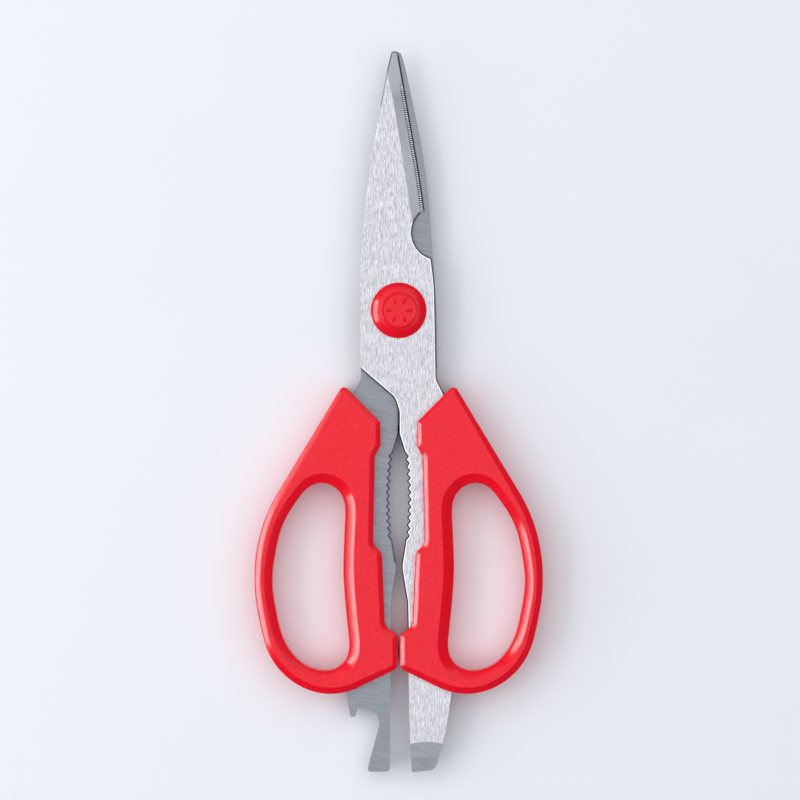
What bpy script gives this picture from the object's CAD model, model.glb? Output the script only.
"""Looks of the poultry shears: finely shaped plates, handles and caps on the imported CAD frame."""

import math

import bmesh
import bpy
import numpy as np
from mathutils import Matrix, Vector
from mathutils.geometry import delaunay_2d_cdt


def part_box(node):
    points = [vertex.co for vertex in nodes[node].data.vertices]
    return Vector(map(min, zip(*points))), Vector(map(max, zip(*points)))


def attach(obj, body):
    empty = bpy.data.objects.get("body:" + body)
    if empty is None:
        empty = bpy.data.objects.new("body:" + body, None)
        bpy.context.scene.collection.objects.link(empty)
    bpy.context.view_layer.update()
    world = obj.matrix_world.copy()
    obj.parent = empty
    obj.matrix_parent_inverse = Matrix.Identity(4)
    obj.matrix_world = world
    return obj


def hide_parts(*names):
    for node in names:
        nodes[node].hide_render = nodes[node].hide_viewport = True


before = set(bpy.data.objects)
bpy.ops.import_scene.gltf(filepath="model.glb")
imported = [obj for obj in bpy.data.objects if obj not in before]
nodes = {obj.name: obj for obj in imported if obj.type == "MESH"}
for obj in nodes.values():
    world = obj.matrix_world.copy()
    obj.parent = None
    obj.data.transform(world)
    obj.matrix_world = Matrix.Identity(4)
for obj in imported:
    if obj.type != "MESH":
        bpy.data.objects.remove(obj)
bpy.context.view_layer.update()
MM = 0.001


# ---------------------------------------------------------------- sizes, in mm, as the CAD has them


def span(node):
    """Low and high corners of a CAD node's box."""
    low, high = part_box(node)
    return np.array(low) / MM, np.array(high) / MM


HANDLE_HIGH = float(span("right_handle")[1][2])
MID = HANDLE_HIGH / 2

# Handle outline: x, y, corner radius, radius of the edge between side and face
HANDLE = [
    (15.8, -21.1, 1.3, 1.4), (5.3, -31.7, 1.5, 1.5), (5.1, -38.3, 2.5, 1.7),
    (6.8, -41.5, 3.0, 1.7), (7.3, -66.6, 3.5, 1.7), (4.8, -68.8, 3.0, 1.7),
    (3.9, -89.7, 3.0, 1.7), (0.3, -92.2, 1.5, 1.7), (0.3, -101.7, 2.3, 1.7),
    (19.2, -110.9, 17.5, 2.05), (36.4, -102.8, 20.5, 2.05), (41.1, -80.5, 42.0, 2.05),
    (40.6, -62.1, 46.0, 2.05),
]
# Finger loop: x, y, corner radius, width of the bevel band
LOOP = [
    (23.9, -49.1, 5.2, 2.5), (14.9, -48.7, 7.0, 3.3), (15.9, -75.1, 80.0, 3.3),
    (13.4, -102.2, 6.5, 3.3), (26.2, -102.5, 11.5, 2.9), (33.2, -93.9, 20.0, 2.7),
    (36.4, -76.9, 30.0, 2.7), (33.5, -60.6, 25.0, 2.7), (26.2, -50.5, 6.5, 2.6),
]
# Shallow part of the loop's band and of the outer edge: first and last slope in degrees, share of the width
BAND_SHAPE = (29.3, 33.6, 0.85)
EDGE_SHAPE = (28.8, 30.8, 0.9)
# Change of those slopes, in degrees per mm across the shears, that keeps the key light's reflection on them
LEAN = 0.034
# Width of the soft line where the flat face ends
SOFT = 0.3
# Level and depth of the parting line's rings, measured from the middle of the handle's thickness
PARTING = [(-0.22, 0.0), (-0.06, 0.05), (0.06, 0.05), (0.22, 0.0)]


def shoulder(shape, lean, soft, count=7):
    """Run from the flat face, 0 to 1, and drop, both in widths, down the edge between a face and a side.

    The edge starts softly, goes on in the shallow arc of the shape and ends in a tight arc.
    """
    none = np.zeros_like(lean)
    bends = [none, np.radians(shape[0] + lean), np.radians(shape[1] + lean), none + math.pi / 2]
    ends = [none, soft, none + shape[2], none + 1]
    pairs = [(none, none)]
    for a, b, near, far in zip(bends, bends[1:], ends, ends[1:]):
        radius = (far - near) / (np.sin(b) - np.sin(a))
        fallen = pairs[-1][1]
        for turn in np.linspace(a, b, count)[1:]:
            run = near + radius * (np.sin(turn) - np.sin(a))
            drop = fallen + radius * (np.cos(a) - np.cos(turn))
            pairs.append((run, drop))
    return pairs


# ---------------------------------------------------------------- outlines


def rounded(corners, step=0.8, turn=math.radians(4)):
    """Points, inward normals and carried values along a counter-clockwise outline with round corners."""
    c = np.array(corners, float)
    n = len(c)
    arcs = []
    for i in range(n):
        b = c[i, :2]
        u = c[i - 1, :2] - b
        w = c[(i + 1) % n, :2] - b
        u, w = u / np.linalg.norm(u), w / np.linalg.norm(w)
        half = math.acos(np.clip(u @ w, -1, 1)) / 2
        radius = c[i, 2]
        middle = (u + w) / np.linalg.norm(u + w)
        centre = b + middle * radius / math.sin(half)
        first = b + u * radius / math.tan(half) - centre
        last = b + w * radius / math.tan(half) - centre
        start = math.atan2(first[1], first[0])
        sweep = (math.atan2(last[1], last[0]) - start + math.pi) % (2 * math.pi) - math.pi
        count = max(2, math.ceil(abs(sweep) / turn), math.ceil(abs(sweep) * radius / step))
        angle = start + sweep * np.linspace(0, 1, count + 1)
        out = np.c_[np.cos(angle), np.sin(angle)]
        inward = -out if sweep > 0 else out
        arcs.append((centre + radius * out, inward, np.full(len(angle), c[i, 3])))
    pts, normals, values = [], [], []
    for i in range(n):
        p, m, v = arcs[i]
        q, _, w = arcs[(i + 1) % n]
        pts.append(p)
        normals.append(m)
        values.append(v)
        gap = np.linalg.norm(q[0] - p[-1])
        count = int(gap / step)
        if count:
            t = (np.arange(count) + 1)[:, None] / (count + 1)
            pts.append(p[-1] + (q[0] - p[-1]) * t)
            normals.append(np.repeat(m[-1:], count, 0))
            values.append((v[-1] + (w[0] - v[-1]) * t)[:, 0])
    return np.vstack(pts), np.vstack(normals), np.concatenate(values)


def section(node, z):
    """Closed loops where a CAD node's mesh meets the level z, largest first, material on their left."""
    bm = bmesh.new()
    bm.from_mesh(nodes[node].data)
    bmesh.ops.remove_doubles(bm, verts=bm.verts, dist=1e-7)
    cut = bmesh.ops.bisect_plane(
        bm, geom=bm.verts[:] + bm.edges[:] + bm.faces[:], dist=1e-9,
        plane_co=(0, 0, z * MM), plane_no=(0, 0, 1),
    )["geom_cut"]
    near = {}
    for e in cut:
        if isinstance(e, bmesh.types.BMEdge):
            a, b = e.verts
            near.setdefault(a, []).append(b)
            near.setdefault(b, []).append(a)
    loops = []
    while near:
        start = next(iter(near))
        loop, here = [start], start
        while True:
            options = [v for v in near.pop(here) if v in near]
            if not options:
                break
            here = options[0]
            loop.append(here)
        loops.append(np.array([v.co[:2] for v in loop]) / MM)
    bm.free()
    loops = sorted((smoothed(p) for p in loops), key=lambda p: -abs(area(p)))
    return [p if (area(p) > 0) == (i == 0) else p[::-1] for i, p in enumerate(loops)]


def smoothed(p, near=0.04, corner=math.radians(24), step=0.5, turn=math.radians(3), least=0.06):
    """The loop without near-double points, and its faceted arcs turned into curves; corners stay."""
    kept = [p[0]]
    for q in p[1:]:
        if np.linalg.norm(q - kept[-1]) > near:
            kept.append(q)
    p = np.array(kept if np.linalg.norm(kept[0] - kept[-1]) > near else kept[:-1])
    after = np.roll(p, -1, 0) - p
    before = np.roll(after, 1, 0)
    size = np.linalg.norm(after, axis=1)
    kink = np.abs(np.arctan2(np.cross(before, after), (before * after).sum(1)))
    way = before + after
    way /= np.linalg.norm(way, axis=1)[:, None]
    sharp = kink > corner
    out = []
    for i in range(len(p)):
        k = (i + 1) % len(p)
        a, b, length = p[i], p[k], size[i]
        along_it = after[i] / length
        ta = along_it if sharp[i] else way[i]
        tb = along_it if sharp[k] else way[k]
        bend = max(math.acos(np.clip(t @ along_it, -1, 1)) for t in (ta, tb))
        count = max(1, math.ceil(length / step), math.ceil(bend / turn))
        count = max(1, min(count, int(length / least)))
        t = (np.arange(count) / count)[:, None]
        out.append(
            (2 * t**3 - 3 * t**2 + 1) * a + (t**3 - 2 * t**2 + t) * length * ta
            + (-2 * t**3 + 3 * t**2) * b + (t**3 - t**2) * length * tb
        )
    return np.vstack(out)


def evened(line, values, reach):
    """Values along a closed line, averaged over the reach in mm."""
    size = np.linalg.norm(np.roll(line, -1, 0) - line, axis=1)
    run = np.concatenate([[0], np.cumsum(size)])
    total = run[-1]
    gap = (run[:-1, None] - run[None, :-1] + total / 2) % total - total / 2
    weight = np.exp(-((gap / reach) ** 2) * 2) * (size + np.roll(size, 1))[None, :]
    return weight @ values / weight.sum(1)


def eased(line, share, reach):
    """A closed line smoothed over the reach where share is 1, hardly shrunk, and its left normals."""
    once = np.c_[evened(line, line[:, 0], reach), evened(line, line[:, 1], reach)]
    twice = np.c_[evened(line, once[:, 0], reach), evened(line, once[:, 1], reach)]
    line = line + share[:, None] * (2 * once - twice - line)
    way = np.roll(line, -1, 0) - np.roll(line, 1, 0)
    way /= np.linalg.norm(way, axis=1)[:, None]
    return line, np.c_[-way[:, 1], way[:, 0]]


def area(p):
    q = np.roll(p, -1, 0)
    return float((p[:, 0] * q[:, 1] - q[:, 0] * p[:, 1]).sum() / 2)


def inset(loop, d, least=0.4):
    """The loop moved to its left by d, mitred, with the mitre at corners held back by least."""
    before = loop - np.roll(loop, 1, 0)
    after = np.roll(loop, -1, 0) - loop
    before /= np.linalg.norm(before, axis=1)[:, None]
    after /= np.linalg.norm(after, axis=1)[:, None]
    m = before + after
    m /= np.linalg.norm(m, axis=1)[:, None]
    stretch = np.maximum((m * before).sum(1), least)
    return loop + np.c_[-m[:, 1], m[:, 0]] * (d / stretch)[:, None]


def distance(points, line, closed=True):
    """Distance from each point to a line, and where along the line the nearest place is."""
    a = line if closed else line[:-1]
    b = np.roll(line, -1, 0) if closed else line[1:]
    ab = b - a
    size = np.maximum((ab**2).sum(1), 1e-18)
    run = np.concatenate([[0], np.cumsum(np.sqrt(size))])
    best = np.full(len(points), np.inf)
    place = np.zeros(len(points))
    for i in range(len(a)):
        t = np.clip(((points - a[i]) @ ab[i]) / size[i], 0, 1)
        d = np.linalg.norm(points - a[i] - t[:, None] * ab[i], axis=1)
        nearer = d < best
        best[nearer] = d[nearer]
        place[nearer] = (run[i] + t * math.sqrt(size[i]))[nearer]
    return best, place


def within(points, loops):
    """True for points inside an odd number of loops."""
    hit = np.zeros(len(points), bool)
    x, y = points[:, 0], points[:, 1]
    for loop in loops:
        for (x1, y1), (x2, y2) in zip(loop, np.roll(loop, -1, 0)):
            if y1 != y2:
                hit ^= ((y1 > y) != (y2 > y)) & (x < (x2 - x1) * (y - y1) / (y2 - y1) + x1)
    return hit


# ---------------------------------------------------------------- meshes


def piece(name, node, verts, faces, mats, kinds=None, sharp=30):
    """A smooth-shaded object from coordinates in mm, held inside its CAD node's box.

    kinds gives each face's material. Edges between two finishes stay sharp, and so do those
    bent by more than sharp degrees.
    """
    mesh = bpy.data.meshes.new(name)
    low, high = span(node)
    held = np.clip(verts, low, high) * MM
    mesh.from_pydata([tuple(v) for v in held], [], [tuple(map(int, f)) for f in faces])
    for m in mats:
        mesh.materials.append(m)
    if kinds is not None:
        mesh.polygons.foreach_set("material_index", np.asarray(kinds, np.int32))
    bm = bmesh.new()
    bm.from_mesh(mesh)
    bmesh.ops.remove_doubles(bm, verts=bm.verts, dist=2e-8)
    bmesh.ops.dissolve_degenerate(bm, edges=bm.edges, dist=1e-8)
    bmesh.ops.recalc_face_normals(bm, faces=bm.faces)
    for face in bm.faces:
        face.smooth = True
    for e in bm.edges:
        f = e.link_faces
        flat = e.calc_face_angle(0) < math.radians(sharp)
        e.smooth = flat and len(f) == 2 and f[0].material_index == f[1].material_index
    bm.to_mesh(mesh)
    bm.free()
    obj = bpy.data.objects.new(name, mesh)
    bpy.context.scene.collection.objects.link(obj)
    even = obj.modifiers.new("even_normals", "WEIGHTED_NORMAL")
    even.keep_sharp = True
    even.weight = 50
    return obj


def fill(loops, lines=(), keep=None):
    """Triangles of the area between loops, with every given line kept as an edge."""
    coords, edges = [], []
    for line, closed in [(p, True) for p in loops] + [(p, False) for p in lines]:
        first, n = len(coords), len(line)
        coords += [Vector(p) for p in line]
        edges += [(first + i, first + (i + 1) % n) for i in range(n if closed else n - 1)]
    v, _, f, *_ = delaunay_2d_cdt(coords, edges, [], 0, 1e-7)
    v, f = np.array([tuple(p) for p in v]), np.array(f)
    f = f[within(v[f].mean(1), keep if keep is not None else loops)]
    twice_area = np.cross(v[f[:, 1]] - v[f[:, 0]], v[f[:, 2]] - v[f[:, 0]])
    solid = np.abs(twice_area) > 1e-9
    return v, np.where((twice_area > 0)[:, None], f, f[:, ::-1])[solid]


def bands(rings):
    """Quads between rings of equal length, and the vertices."""
    n = len(rings[0])
    quads = []
    for j in range(len(rings) - 1):
        for i in range(n):
            k = (i + 1) % n
            quads.append((j * n + i, j * n + k, (j + 1) * n + k, (j + 1) * n + i))
    return np.vstack(rings), quads


# ---------------------------------------------------------------- materials


class Look:
    """A node material round one Principled shader."""

    def __init__(self, name, **inputs):
        self.material = bpy.data.materials.new(name)
        self.material.use_nodes = True
        self.tree = self.material.node_tree
        self.shader = self.tree.nodes["Principled BSDF"]
        for key, value in inputs.items():
            self.shader.inputs[key.replace("_", " ")].default_value = value
        self.where = self.tree.nodes.new("ShaderNodeTexCoord").outputs["Object"]

    def add(self, kind, inputs=None, **props):
        """The first output of a new node with its inputs linked or set."""
        node = self.tree.nodes.new(kind)
        for key, value in props.items():
            setattr(node, key, value)
        for key, value in (inputs or {}).items():
            if isinstance(value, bpy.types.NodeSocket):
                self.tree.links.new(value, node.inputs[key])
            else:
                node.inputs[key].default_value = value
        return node.outputs[0]

    def set(self, key, socket):
        """Drive an input of the Principled shader."""
        self.tree.links.new(socket, self.shader.inputs[key])

    def place(self, size, turn=0.0):
        """Coordinates in which one unit is size = (x, y, z) mm, turned about Z by degrees."""
        turning = {"Vector": self.where, "Rotation": (0, 0, math.radians(-turn))}
        turned = self.add("ShaderNodeMapping", turning)
        return self.add("ShaderNodeMapping", {"Vector": turned, "Scale": [1 / (s * MM) for s in size]})

    def noise(self, size, turn=0.0, detail=2.0, rough=0.5):
        """Fractal noise whose largest features have the size in mm."""
        inputs = {"Vector": self.place(size, turn), "Scale": 1.0, "Detail": detail, "Roughness": rough}
        return self.add("ShaderNodeTexNoise", inputs)

    def ramp(self, fac, low, high, start=0.3, end=0.7):
        """fac from start to end mapped to low to high, which are numbers or colours."""
        if isinstance(low, (tuple, list)):
            node = self.tree.nodes.new("ShaderNodeValToRGB")
            node.color_ramp.elements[0].position = start
            node.color_ramp.elements[1].position = end
            node.color_ramp.elements[0].color = (*low, 1)
            node.color_ramp.elements[1].color = (*high, 1)
            self.tree.links.new(fac, node.inputs[0])
            return node.outputs[0]
        return self.add("ShaderNodeMapRange", {"Value": fac, 1: start, 2: end, 3: low, 4: high})

    def bump(self, height, strength, depth_mm):
        inputs = {"Height": height, "Strength": strength, "Distance": depth_mm * MM}
        return self.add("ShaderNodeBump", inputs)


def steel(
    name, light, dark, rough, grain, turn=0, contrast=(0.35, 0.65), fine=0.15, depth=0.004, speck=None
):
    """Ground or brushed steel: streaks of the grain's size, turned from +Y by degrees, and finer specks."""
    look = Look(name, Metallic=1.0)
    coarse = look.noise(grain, turn, 3.0, 0.6)
    lines = look.noise(speck or (grain[0] * 0.35, grain[1] * 2.5, 1.0), turn, 2.0, 0.6)
    both = look.add("ShaderNodeMath", {0: coarse, 1: lines}, operation="ADD")
    both = look.add("ShaderNodeMath", {0: both, 1: 0.5}, operation="MULTIPLY")
    look.set("Base Color", look.ramp(both, dark, light, *contrast))
    look.set("Roughness", look.ramp(coarse, rough + 0.08, rough - 0.05))
    look.set("Normal", look.bump(both, fine, depth))
    return look.material


def plastic(name, colour, deep, rough, grain, depth):
    """Moulded plastic with a fine grain in its colour, its gloss and its surface."""
    look = Look(name, IOR=1.5, Specular_IOR_Level=0.38)
    skin = look.noise((grain, grain, grain), 0, 3.0, 0.6)
    mottle = look.noise((MOTTLE, MOTTLE, MOTTLE))
    tint = look.add("ShaderNodeMath", {0: mottle, 1: 0.12, 2: skin}, operation="MULTIPLY_ADD")
    look.set("Base Color", look.ramp(tint, colour, deep, 0.46, 0.66))
    look.set("Roughness", look.ramp(skin, rough + 0.06, rough - 0.05, 0.35, 0.65))
    look.set("Normal", look.bump(skin, 0.6, depth))
    return look.material


# Size in mm of the faint mottling of the plastic
MOTTLE = 9
# Outer face of the front plate, ground lengthwise and coarsely
FRONT_STEEL = steel(
    "front_steel", (0.85, 0.83, 0.86), (0.45, 0.435, 0.455), 0.42, (0.28, 3.2, 1.0),
    contrast=(0.38, 0.62), fine=0.5, depth=0.012, speck=(0.2, 1.3, 1.0),
)
# The other flat faces, finely ground across
REAR_STEEL = steel(
    "rear_steel", (0.32, 0.33, 0.355), (0.25, 0.26, 0.285), 0.34, (0.25, 5.0, 1.0), 80,
    contrast=(0.4, 0.6), fine=0.25,
)
BEVEL_STEEL = steel("bevel_steel", (0.93, 0.95, 0.97), (0.85, 0.87, 0.89), 0.34, (0.5, 3.0, 1.0), 80)
FACET_STEEL = steel(
    "facet_steel", (0.50, 0.51, 0.54), (0.36, 0.37, 0.40), 0.36, (0.2, 4.0, 1.0), 60,
    contrast=(0.4, 0.6), fine=0.4,
)
# Polished chamfers and the lands between the teeth of the serration
CREST_STEEL = steel("crest_steel", (0.97, 0.97, 0.98), (0.88, 0.89, 0.90), 0.4, (0.3, 3.0, 1.0), 80)
# Dark burr edges, walls and the honed cutting edge
HONED_STEEL = steel("honed_steel", (0.08, 0.083, 0.09), (0.045, 0.047, 0.052), 0.3, (0.2, 1.0, 1.0))
TURNED_STEEL = steel("turned_steel", (0.60, 0.60, 0.61), (0.5, 0.5, 0.51), 0.3, (0.2, 0.2, 0.6), fine=0.2)
RED = plastic("red_plastic", (1.0, 0.004, 0.025), (0.82, 0.001, 0.013), 0.165, 0.4, 0.014)
CAP_RED = plastic("cap_red", (0.95, 0.003, 0.020), (0.80, 0.002, 0.016), 0.18, 0.4, 0.006)
WASHER = plastic("washer_plastic", (0.05, 0.05, 0.052), (0.035, 0.035, 0.037), 0.5, 0.3, 0.006)


# ---------------------------------------------------------------- plates

# Widths from the outline inwards: of the dark burr edge, and of it with the polished chamfer
BURR, RIM = 0.34, 0.62
# Fall per mm of both, and the share of that fall that the lower face has
BURR_SLOPE, RIM_SLOPE, UNDER_SHARE = 1.3, 0.22, 0.15
# Without chamfer: the spine, which is above the first y and left of a line given as y and x,
# and the tail, which is below the last y
SPINE_Y, SPINE_LINE, TAIL_Y = -16.4, ([50, 75], [-6.5, 0.5]), -95
# Thickness at the cutting edge, and width and rise of the honed strip beside it
LAND, HONED, HONED_RISE = 0.12, 0.45, 0.4
# Serration: pitch, depth, reach of the grooves, and where the lands between them end and meet the bevel
TOOTH, TOOTH_DEEP, TOOTH_LONG, CREST_LONG, CREST_END = 0.62, 0.12, 1.3, 0.85, 1.0
# How far the bevel's lines run on past both ends of the cutting edge
LEAD = 8.0
# Width of each bevel, as y and width
FRONT_BEVEL = ([28, 40, 53, 60.5, 65, 74], [3.95, 4.1, 3.9, 3.8, 4.1, 4.1])
REAR_BEVEL = ([5, 20, 28, 53, 60.5, 65, 74], [0.3, 2.6, 3.9, 3.9, 3.8, 4.1, 4.1])
# Fall per mm of the driver tail's facet
FACET_SLOPE = 0.235
# Depth below a face at which the CAD's outline is taken
SKIN = 0.05

BRUSHED, BEVEL, FACET, CREST, GROUND, HONE = range(6)
FINISHES = [FRONT_STEEL, BEVEL_STEEL, FACET_STEEL, CREST_STEEL, REAR_STEEL, HONED_STEEL]


def driver_line(x):
    """The y where the driver tail's facet begins, along a shallow arc."""
    return -122.6 - 0.035 * (x - 8.1) ** 2


def along(line, run):
    """Points at given lengths along an open line, and its left normals there."""
    s = np.concatenate([[0], np.cumsum(np.linalg.norm(np.diff(line, axis=0), axis=1))])

    def at(r):
        return np.c_[np.interp(r, s, line[:, 0]), np.interp(r, s, line[:, 1])]

    t = at(run + 0.5) - at(run - 0.5)
    t /= np.linalg.norm(t, axis=1)[:, None]
    return at(run), np.c_[-t[:, 1], t[:, 0]]


class Edge:
    """Ground bevel along the cutting edge, which is on the right of a plate's outline, serrated or not."""

    def __init__(self, outline, low, high, widths, serrated, step=0.5):
        i = np.argmin(np.linalg.norm(outline - np.array(low), axis=1))
        j = np.argmin(np.linalg.norm(outline - np.array(high), axis=1))
        n = len(outline)
        line = outline[[(i + k) % n for k in range((j - i) % n + 1)]]
        rest = outline[[(j + k) % n for k in range(1, (i - j) % n)]]
        first = (line[0] - line[1]) / np.linalg.norm(line[0] - line[1])
        last = (line[-1] - line[-2]) / np.linalg.norm(line[-1] - line[-2])
        self.long = np.vstack([line[0] + first * LEAD, line, line[-1] + last * LEAD])
        self.widths = widths
        self.length = np.linalg.norm(np.diff(line, axis=0), axis=1).sum()
        self.serrated = serrated
        run = np.arange(0, self.length, TOOTH / 8 if serrated else step)
        pts, left = along(self.long, run + LEAD)
        edge = pts + left * (self.wave(run) * TOOTH_DEEP)[:, None]
        self.outline = np.vstack([edge, line[-1:], rest])
        self.rest = slice(len(edge) + 1, None)
        self.rows = [pts[2:-2] + left[2:-2] * d for d in (HONED, CREST_LONG, CREST_END, TOOTH_LONG)]
        run = np.arange(-LEAD + 1, self.length + LEAD - 1, step)
        pts, left = along(self.long, run + LEAD)
        self.crease = pts + left * np.interp(pts[:, 1], *widths)[:, None]

    def wave(self, run):
        """Depth of the serration, 0 to 1, at a length along the edge."""
        return np.clip(2 - np.abs(run / TOOTH % 1 * 2 - 1) * 3, 0, 1) * self.grown(run)

    def grown(self, run, bare=8, fade=5):
        """How far the serration has grown, 0 to 1, at a length along the edge; the tip stays bare."""
        to_tip = np.clip((self.length - bare - run) / fade, 0, 1)
        return self.serrated * to_tip * np.clip((run - 0.4) / 0.8, 0, 1)

    def toothed(self, points):
        """How far the serration has grown beside each point."""
        return self.grown(distance(points, self.long, closed=False)[1] - LEAD)

    def at(self, points):
        """Share of the bevel's width, depth of the serration, and distance from the edge."""
        d, place = distance(points, self.long, closed=False)
        y = along(self.long, place)[0][:, 1]
        return d / np.interp(y, *self.widths), self.wave(np.clip(place - LEAD, 0, self.length)), d


def nearest(points, loops):
    """Distance from each point to the nearest of the loops."""
    return np.min([distance(points, p)[0] for p in loops], axis=0)


def inside_parts(line, loops, gap=0.03):
    """The parts of an open line that lie inside the loops, a gap away from them."""
    good = within(line, loops) & (nearest(line, loops) > gap)
    cuts = np.flatnonzero(np.diff(good.astype(int))) + 1
    return [q for q, g in zip(np.split(line, cuts), good[np.r_[0, cuts]]) if g and len(q) > 1]


def plan(edge, loops, tail):
    """Triangles of a plate seen from above, with an edge along every line where height or finish changes."""
    rings = [*loops, *(inset(p, d) for d in (BURR, RIM) for p in loops[1:])]
    rims = [inset(loops[0], d)[edge.rest][2:-2] for d in (BURR, RIM)]
    lines = [edge.crease, *edge.rows, *rims]
    if tail:
        x = np.linspace(0, 16, 65)
        lines.append(np.c_[x, tail(x)])
    return fill(rings, [q for line in lines for q in inside_parts(line, loops)], keep=loops)


def past(q, tail):
    """How far points lie past the line where the tail's facet begins."""
    return np.maximum(tail(q[:, 0]) - q[:, 1], 0) if tail else np.zeros(len(q))


def plain(q):
    """True on the spine and on the tail, which have no chamfer."""
    spine = (q[:, 1] > SPINE_Y) & (q[:, 0] < np.interp(q[:, 1], *SPINE_LINE))
    return spine | (q[:, 1] < TAIL_Y)


def rim_drop(d):
    """How far the face has sunk at a distance from the outline: a shallow chamfer and a steep burr edge."""
    return np.clip(RIM - d, 0, RIM - BURR) * RIM_SLOPE + np.clip(BURR - d, 0, BURR) * BURR_SLOPE


def rim_kinds(points, loops, kinds, bare):
    """Finishes with the polished chamfer and the dark burr edge put in, except where bare."""
    d = nearest(points, loops)
    rim = np.where(d < BURR, HONE, np.where(d < RIM, CREST, kinds))
    return np.where(bare, kinds, rim)


def heights(v, edge, loops, z0, z1, tail):
    """Heights of the outer and the inner face of a plate that lies between z0 and z1."""
    share, wave, reach = edge.at(v)
    far = np.clip((reach - 0.4) / 0.6, 0, 1) * (1 - plain(v))
    drop = rim_drop(nearest(v, loops)) * far
    first = z0 + LAND + HONED_RISE
    slope = (z1 - first) / np.maximum(reach / np.maximum(share, 1e-6) - HONED, 1e-6)
    crest = np.clip(1 - wave * 2, 0, 1) * (reach < CREST_LONG + 0.05) * edge.toothed(v)
    rise = first + slope * (reach - HONED) * (1 - crest)
    rise = np.where(reach < HONED, z0 + LAND + HONED_RISE * reach / HONED, rise)
    groove = wave * TOOTH_DEEP * np.clip(1 - reach / TOOTH_LONG, 0, 1)
    outer = np.minimum(rise - groove, z1)
    outer = np.minimum(outer, z1 - past(v, tail) * FACET_SLOPE)
    outer -= np.minimum(drop, outer - z0 - LAND)
    return outer, z0 + drop * UNDER_SHARE


def finishes(middle, edge, loops, tail):
    """Finishes of the outer and the inner face's triangles, from their middles."""
    share, wave, reach = edge.at(middle)
    y = middle[:, 1]
    near = reach < CREST_LONG
    lands = np.where((edge.toothed(middle) > 0.35) & near, CREST, BEVEL)
    teeth = np.where(wave > 0.4, np.where(near, HONE, GROUND), lands)
    kinds = np.where(reach < TOOTH_LONG, teeth, BEVEL)
    kinds = np.where(reach < HONED, HONE, kinds)
    facet = past(middle, tail) > 0
    kinds = np.where(share < 1, kinds, np.where(facet, FACET, BRUSHED))
    kinds = rim_kinds(middle, loops, kinds, (reach < TOOTH_LONG) | plain(middle) | facet)
    spine_at_tip = plain(middle) & (y > 58) & (nearest(middle, loops) < BURR)
    kinds = np.where(spine_at_tip, GROUND, kinds)
    # The inner face has a dark edge beside the jaw only
    inner = rim_kinds(middle, loops, np.full(len(middle), GROUND), (y > -33) | (y < -72))
    return kinds, np.where(inner == CREST, GROUND, inner)


def blade(name, node, body, outward, low, high, widths, serrated, tail=None):
    """One plate, made with its outer face up and its cutting edge on the right, from low to high.

    outward is 1 for the front plate and -1 for the rear one, which is turned over at the end.
    """
    z0, z1 = (float(v[2]) for v in span(node))
    loops = section(node, z0 + SKIN if outward > 0 else z1 - SKIN)
    if outward < 0:
        loops = [(p * [-1, 1])[::-1] for p in loops]
        z0, z1 = -z1, -z0
    edge = Edge(loops[0], low, high, widths, serrated)
    loops[0] = edge.outline
    v, f = plan(edge, loops, tail)
    outer, inner = heights(v, edge, loops, z0, z1, tail)
    outer_kinds, inner_kinds = finishes(v[f].mean(1), edge, loops, tail)
    n = len(v)
    verts = np.vstack([np.c_[v, outer], np.c_[v, inner]])
    sides = {e for a, b, c in f for e in ((a, b), (b, c), (c, a))}
    walls = sorted((b, a, a + n, b + n) for a, b in sides if (b, a) not in sides)
    kinds = [*outer_kinds, *inner_kinds, *[HONE] * len(walls)]
    faces = [*f, *(t[::-1] + n for t in f), *walls]
    obj = piece(name, node, verts * [outward, 1, outward], faces, FINISHES, kinds, sharp=50)
    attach(obj, body)
    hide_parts(node)
    return obj


# ---------------------------------------------------------------- handles


def build_handle(name, node, body, side):
    """One handle: side is 1 for the right one and -1 for its mirror image."""
    rim, rim_in, edge = rounded(HANDLE)
    loop, loop_in, band = rounded(LOOP)
    band = evened(loop, band, 9.0)
    edge = evened(rim, edge, 3.0)
    # 1 on the free bow round the finger loop, 0 on the stem with its corners
    ring = np.clip((rim[:, 0] - 11) / 6, 0, 1) * np.clip((-48 - rim[:, 1]) / 10, 0, 1)
    rim, turned = eased(rim, ring, 8.0)
    rim_in = np.where(ring[:, None] > 0, turned, rim_in)
    loop, loop_in = eased(loop, np.ones(len(loop)), 6.0)
    def round_side(line, inward, width, shape):
        """Rings from the lower face round the side to the upper face."""
        steps = shoulder(shape, side * line[:, 0] * LEAN, SOFT / width)
        lower = [np.c_[line + inward * (width * (1 - run))[:, None], width * drop] for run, drop in steps]
        seam = [np.c_[line + inward * deep, np.full(len(line), MID + z)] for z, deep in PARTING]
        upper = [r * [1, 1, -1] + [0, 0, HANDLE_HIGH] for r in lower[::-1]]
        return lower + seam + upper

    outer = round_side(rim, rim_in, edge, EDGE_SHAPE)
    inner = round_side(loop, -loop_in, band, BAND_SHAPE)
    verts, faces = bands(outer)
    more, quads = bands(inner)
    faces += [tuple(i + len(verts) for i in q[::-1]) for q in quads]
    verts = np.vstack([verts, more])
    for upper, z in ((True, HANDLE_HIGH), (False, 0.0)):
        loops = [outer[-1 if upper else 0][:, :2], inner[-1 if upper else 0][:, :2]]
        v, f = fill(loops)
        faces += [tuple((t if upper else t[::-1]) + len(verts)) for t in f]
        verts = np.vstack([verts, np.c_[v, np.full(len(v), z)]])
    if side < 0:
        verts = verts * [-1, 1, 1]
        faces = [f[::-1] for f in faces]
    obj = piece(name, node, verts, faces, [RED], sharp=19)
    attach(obj, body)
    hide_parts(node)
    return obj


# ---------------------------------------------------------------- caps


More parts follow.
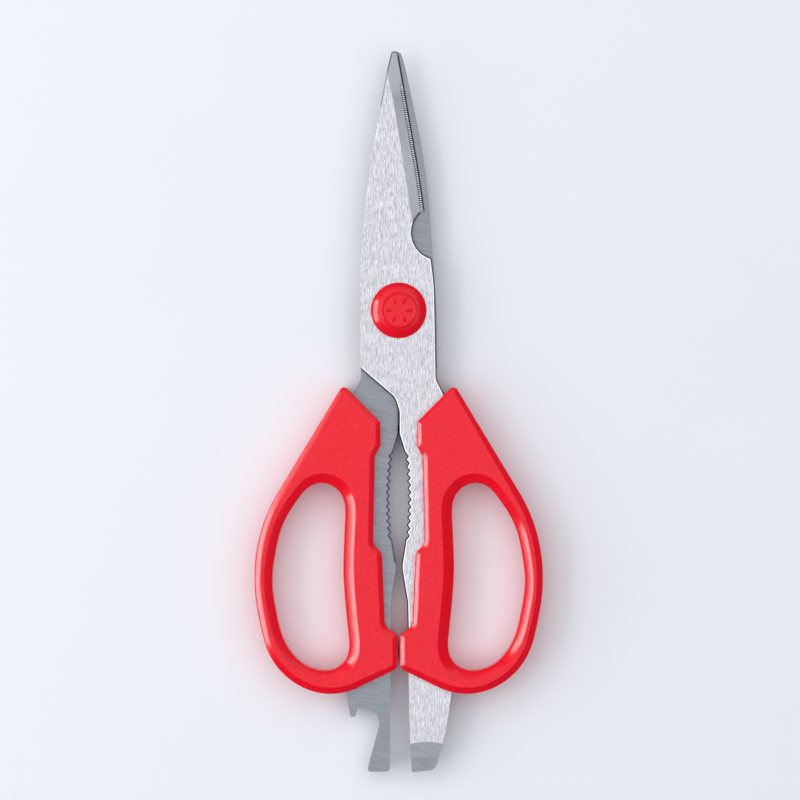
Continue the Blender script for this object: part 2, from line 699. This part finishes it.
def emblem(x, y, radius=4.8, half=0.5, soft=0.45):
    """1 on the raised marks of the front cap, 0 off them: a plain ring round six short rays."""
    r = np.hypot(x, y)
    ring = np.clip((half - np.abs(r - radius)) / soft, 0, 1)
    turn = np.radians(60)
    a = (np.arctan2(y, x) + turn / 2) % turn - turn / 2
    across, out = np.abs(r * np.sin(a)), r * np.cos(a)
    ends = np.clip((out - 1.9) / soft, 0, 1) * np.clip((3.9 - out) / soft, 0, 1)
    ray = np.clip((half - across) / soft, 0, 1) * ends
    mark = np.maximum(ring, ray)
    return mark * mark * (3 - 2 * mark)


# Share of the cap's radius, and the dome's tilt there in degrees
CAP_TILT = ([0, 0.5, 0.66, 0.78, 0.93, 0.97, 1], [0, 7, 17, 28.8, 32, 45, 62])
# Height of the raised marks, and radius up to which the rings are close enough to draw them
MARK_HIGH, MARK_RADIUS = 0.35, 6.2
AROUND = 240


def build_cap(name, node, raised):
    """A domed cap: the front one with raised marks, or the rear one, which faces down."""
    low, high = span(node)
    radius = float(high[0] - low[0]) / 2
    height = float(high[2] - low[2])
    mark_high = MARK_HIGH if raised else 0
    top = height - mark_high
    run = np.linspace(0, 1, 401)
    tilt = np.radians(np.interp(run, *CAP_TILT))
    fall = np.concatenate([[0], np.cumsum(np.tan((tilt[1:] + tilt[:-1]) / 2))]) * radius / 400
    wall = top - fall[-1]
    middle = np.linspace(0, MARK_RADIUS, 60)[1:]
    outside = np.linspace(MARK_RADIUS, radius - 0.02, 16)[1:]
    angle = np.linspace(0, 2 * math.pi, AROUND, endpoint=False)
    rings = []
    for r in (*middle, *outside):
        x, y = r * np.cos(angle), r * np.sin(angle)
        z = top - np.interp(r / radius, run, fall) + mark_high * emblem(x, y)
        rings.append(np.c_[x, y, z])
    foot = (
        (radius, wall * 0.6), (radius, 0.1), (radius - 0.1, 0.0),
        (radius - 1.6, 0.0), (radius - 1.7, 0.1),
    )
    for r, z in foot:
        rings.append(np.c_[r * np.cos(angle), r * np.sin(angle), np.full(AROUND, z)])
    verts, faces = bands(rings[::-1])
    crown = len(verts)
    last = crown - AROUND
    verts = np.vstack([verts, [[0, 0, top]], [[0, 0, 0.1]]])
    faces += [(last + i, last + (i + 1) % AROUND, crown) for i in range(AROUND)]
    faces += [((i + 1) % AROUND, i, crown + 1) for i in range(AROUND)]
    if raised:
        verts[:, 2] += low[2]
    else:
        verts[:, 2] = np.maximum(high[2] - verts[:, 2], 0)
        faces = [f[::-1] for f in faces]
    obj = piece(name, node, verts, faces, [CAP_RED], sharp=40)
    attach(obj, "rear_half")
    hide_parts(node)
    return obj


# ---------------------------------------------------------------- pieces

blade(
    "front_plate", "front_blade", "front_half", 1,
    (7.4, 28.6), (-0.3, 73.3), FRONT_BEVEL, True, driver_line,
)
blade(
    "rear_plate", "rear_blade", "rear_half", -1,
    (9.2, 15.0), (1.2, 73.0), REAR_BEVEL, False,
)
build_handle("right_grip", "right_handle", "front_half", 1)
build_handle("left_grip", "left_handle", "rear_half", -1)
build_cap("front_cover", "front_cap", True)
build_cap("rear_cover", "rear_cap", False)
for node, look in (
    ("pivot_screw", TURNED_STEEL), ("pivot_nut", TURNED_STEEL),
    ("spring_washer", TURNED_STEEL), ("friction_washer", WASHER),
):
    for holder in nodes[node].material_slots:
        holder.link = "OBJECT"
        holder.material = look


# ---------------------------------------------------------------- studio


def area_light(name, at, aim, size, power, colour=(1, 1, 1)):
    data = bpy.data.lights.new(name, "AREA")
    data.shape = "RECTANGLE"
    data.size, data.size_y = size
    data.energy = power
    data.color = colour
    obj = bpy.data.objects.new(name, data)
    obj.location = at
    obj.rotation_euler = (Vector(aim) - Vector(at)).to_track_quat("-Z", "Y").to_euler()
    obj.visible_camera = False
    bpy.context.scene.collection.objects.link(obj)
    return obj


def studio(half=3.0):
    """A pale floor, 2 * half across, a dim sky and the lights."""
    floor_look = Look("pale_floor", Roughness=0.75)
    patches = floor_look.noise((60, 60, 60))
    floor_look.set("Base Color", floor_look.ramp(patches, (0.88, 0.89, 0.925), (0.87, 0.88, 0.915)))
    bm = bmesh.new()
    bmesh.ops.create_grid(bm, x_segments=8, y_segments=8, size=half)
    mesh = bpy.data.meshes.new("floor")
    bm.to_mesh(mesh)
    bm.free()
    mesh.materials.append(floor_look.material)
    floor = bpy.data.objects.new("floor", mesh)
    floor.location = (0, 0, -0.02 * MM)
    bpy.context.scene.collection.objects.link(floor)

    world = bpy.data.worlds.new("studio")
    bpy.context.scene.world = world
    world.use_nodes = True
    back = world.node_tree.nodes["Background"]
    back.inputs["Color"].default_value = (0.8, 0.9, 1.0, 1)
    back.inputs["Strength"].default_value = 0.15

    # The narrow key gives the highlights, and the wide panel in its place the soft shadows
    side = (-1.03, 0.0, 0.62)
    area_light("key", side, (0, -0.03, 0), (1.0, 0.08), 6.4).visible_diffuse = False
    area_light("side", side, (0, -0.03, 0), (1.6, 0.9), 8.1).visible_glossy = False
    area_light("overhead", (0.1, 0.75, 1.6), (0.1, 0.75, 0), (3.9, 4.0), 51.5, (0.95, 0.97, 1.0))


def camera(height=1.4, frame_width=0.22778, at_level=0.0062):
    """Straight down from height, with a picture frame_width across at at_level."""
    data = bpy.data.cameras.new("camera")
    data.sensor_width = 36
    data.lens = data.sensor_width * (height - at_level) / frame_width
    data.clip_end = 20
    cam = bpy.data.objects.new("camera", data)
    cam.location = (0.00037, -0.02548, height)
    bpy.context.scene.collection.objects.link(cam)
    bpy.context.scene.camera = cam


studio()
camera()
bpy.context.scene.view_settings.view_transform = "Standard"
